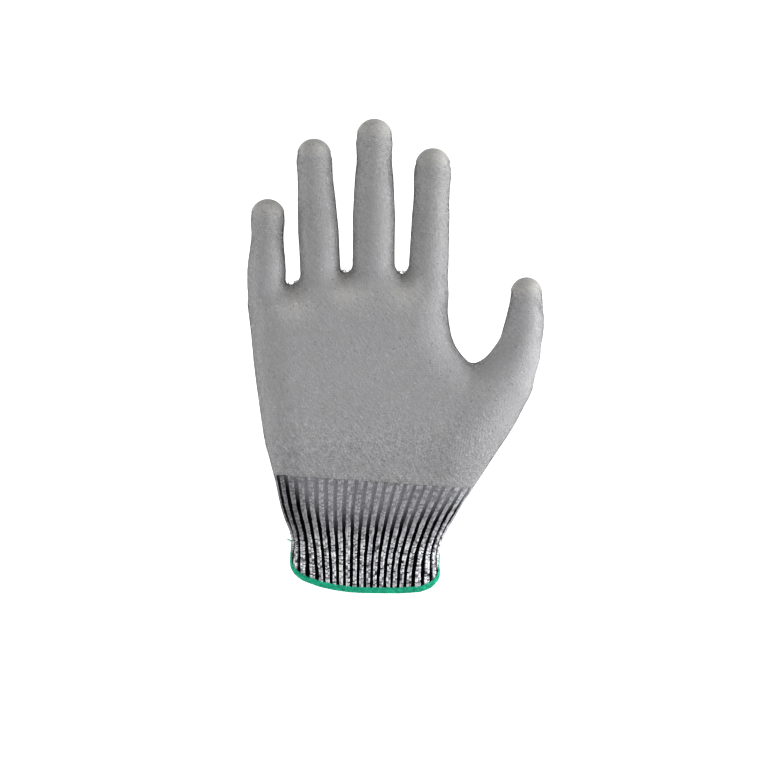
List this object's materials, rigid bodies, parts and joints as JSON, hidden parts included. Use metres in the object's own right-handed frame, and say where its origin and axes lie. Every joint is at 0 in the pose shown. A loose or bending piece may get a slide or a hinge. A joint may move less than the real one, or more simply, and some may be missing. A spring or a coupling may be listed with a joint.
{
  "type": "cut resistant glove",
  "caption": "Right-hand knitted work glove with a smooth grey palm coating, a ribbed elastic cuff and an overlocked green hem; every finger bends at its creases.",
  "frame": {"origin": "centre of the hand opening, at the level of the hem's lowest edge", "axes": "+Z from the hem to the fingertips, -Y out of the coated palm, +X to the thumb side"},
  "size_m": [0.1539, 0.034, 0.2463],
  "materials": {
    "knit_liner": "salt and pepper 13 gauge jersey knit, matt",
    "pu_coating": "thin matt polyurethane film with a fine grain",
    "rib_knit": "white and grey melange ribs with black grooves",
    "elastic_yarn": "black covered elastic yarn",
    "hem_thread": "green polyester overlock thread"
  },
  "bodies": {
    "palm": {"palm_liner": "knit_liner", "palm_coating": "pu_coating", "wrist_rib_knit": "rib_knit"},
    "cuff": {"cuff_rib_knit": "rib_knit", "cuff_elastic_yarn": "elastic_yarn", "hem_overlock_band": "hem_thread", "hem_needle_thread": "hem_thread", "hem_thread_tail": "hem_thread"},
    "little_base": {"little_liner_base": "knit_liner", "little_coating_base": "pu_coating"},
    "little_middle": {"little_liner_middle": "knit_liner", "little_coating_middle": "pu_coating"},
    "little_tip": {"little_liner_tip": "knit_liner", "little_coating_tip": "pu_coating"},
    "ring_base": {"ring_liner_base": "knit_liner", "ring_coating_base": "pu_coating"},
    "ring_middle": {"ring_liner_middle": "knit_liner", "ring_coating_middle": "pu_coating"},
    "ring_tip": {"ring_liner_tip": "knit_liner", "ring_coating_tip": "pu_coating"},
    "middle_base": {"middle_liner_base": "knit_liner", "middle_coating_base": "pu_coating"},
    "middle_middle": {"middle_liner_middle": "knit_liner", "middle_coating_middle": "pu_coating"},
    "middle_tip": {"middle_liner_tip": "knit_liner", "middle_coating_tip": "pu_coating"},
    "index_base": {"index_liner_base": "knit_liner", "index_coating_base": "pu_coating"},
    "index_middle": {"index_liner_middle": "knit_liner", "index_coating_middle": "pu_coating"},
    "index_tip": {"index_liner_tip": "knit_liner", "index_coating_tip": "pu_coating"},
    "thumb_base": {"thumb_liner_base": "knit_liner", "thumb_coating_base": "pu_coating"},
    "thumb_tip": {"thumb_liner_tip": "knit_liner", "thumb_coating_tip": "pu_coating"}
  },
  "joints": [
    {"name": "wrist_bend", "type": "hinge", "parent": "palm", "child": "cuff", "pos_m": [0, 0, 0.042], "axis": [1, 0, 0], "range_deg": [-40, 40], "stiffness_Nm_per_rad": 0.12},
    {"name": "little_base_bend", "type": "hinge", "parent": "palm", "child": "little_base", "pos_m": [-0.0512, -0.0025, 0.1655], "axis": [0.9998, 0, -0.0175], "range_deg": [-15, 68], "stiffness_Nm_per_rad": 0.01},
    {"name": "little_middle_bend", "type": "hinge", "parent": "little_base", "child": "little_middle", "pos_m": [-0.05094, -0.00329, 0.18048], "axis": [0.9998, 0, -0.0175], "range_deg": [0, 80], "stiffness_Nm_per_rad": 0.01},
    {"name": "little_tip_bend", "type": "hinge", "parent": "little_middle", "child": "little_tip", "pos_m": [-0.05071, -0.0054, 0.19381], "axis": [0.9998, 0, -0.0175], "range_deg": [0, 40], "stiffness_Nm_per_rad": 0.01},
    {"name": "ring_base_bend", "type": "hinge", "parent": "palm", "child": "ring_base", "pos_m": [-0.0236, -0.0025, 0.1735], "axis": [0.9988, 0, 0.0488], "range_deg": [-15, 68], "stiffness_Nm_per_rad": 0.01},
    {"name": "ring_middle_bend", "type": "hinge", "parent": "ring_base", "child": "ring_middle", "pos_m": [-0.02448, -0.00344, 0.19145], "axis": [0.9988, 0, 0.0488], "range_deg": [0, 80], "stiffness_Nm_per_rad": 0.01},
    {"name": "ring_tip_bend", "type": "hinge", "parent": "ring_middle", "child": "ring_tip", "pos_m": [-0.02547, -0.00665, 0.21168], "axis": [0.9988, 0, 0.0488], "range_deg": [0, 40], "stiffness_Nm_per_rad": 0.01},
    {"name": "middle_base_bend", "type": "hinge", "parent": "palm", "child": "middle_base", "pos_m": [0.0044, -0.0025, 0.174], "axis": [0.9999, 0, -0.0105], "range_deg": [-15, 68], "stiffness_Nm_per_rad": 0.01},
    {"name": "middle_middle_bend", "type": "hinge", "parent": "middle_base", "child": "middle_middle", "pos_m": [0.00461, -0.00355, 0.19397], "axis": [0.9999, 0, -0.0105], "range_deg": [0, 80], "stiffness_Nm_per_rad": 0.01},
    {"name": "middle_tip_bend", "type": "hinge", "parent": "middle_middle", "child": "middle_tip", "pos_m": [0.00486, -0.0073, 0.21767], "axis": [0.9999, 0, -0.0105], "range_deg": [0, 40], "stiffness_Nm_per_rad": 0.01},
    {"name": "index_base_bend", "type": "hinge", "parent": "palm", "child": "index_base", "pos_m": [0.0327, -0.0025, 0.1735], "axis": [0.999, 0, -0.0436], "range_deg": [-15, 68], "stiffness_Nm_per_rad": 0.01},
    {"name": "index_middle_bend", "type": "hinge", "parent": "index_base", "child": "index_middle", "pos_m": [0.03346, -0.00342, 0.19096], "axis": [0.999, 0, -0.0436], "range_deg": [0, 80], "stiffness_Nm_per_rad": 0.01},
    {"name": "index_tip_bend", "type": "hinge", "parent": "index_middle", "child": "index_tip", "pos_m": [0.03426, -0.00631, 0.20921], "axis": [0.999, 0, -0.0436], "range_deg": [0, 40], "stiffness_Nm_per_rad": 0.01},
    {"name": "thumb_base_bend", "type": "hinge", "parent": "palm", "child": "thumb_base", "pos_m": [0.0618, -0.0025, 0.1256], "axis": [0.8192, 0, -0.5736], "range_deg": [-15, 50], "stiffness_Nm_per_rad": 0.01},
    {"name": "thumb_tip_bend", "type": "hinge", "parent": "thumb_base", "child": "thumb_tip", "pos_m": [0.0813, -0.00494, 0.13368], "axis": [0.9781, 0, -0.2079], "range_deg": [0, 60], "stiffness_Nm_per_rad": 0.01}
  ],
  "couplings": [
    {"joint": "little_tip_bend", "follows": "little_middle_bend", "ratio": 0.5},
    {"joint": "ring_tip_bend", "follows": "ring_middle_bend", "ratio": 0.5},
    {"joint": "middle_tip_bend", "follows": "middle_middle_bend", "ratio": 0.5},
    {"joint": "index_tip_bend", "follows": "index_middle_bend", "ratio": 0.5}
  ]
}
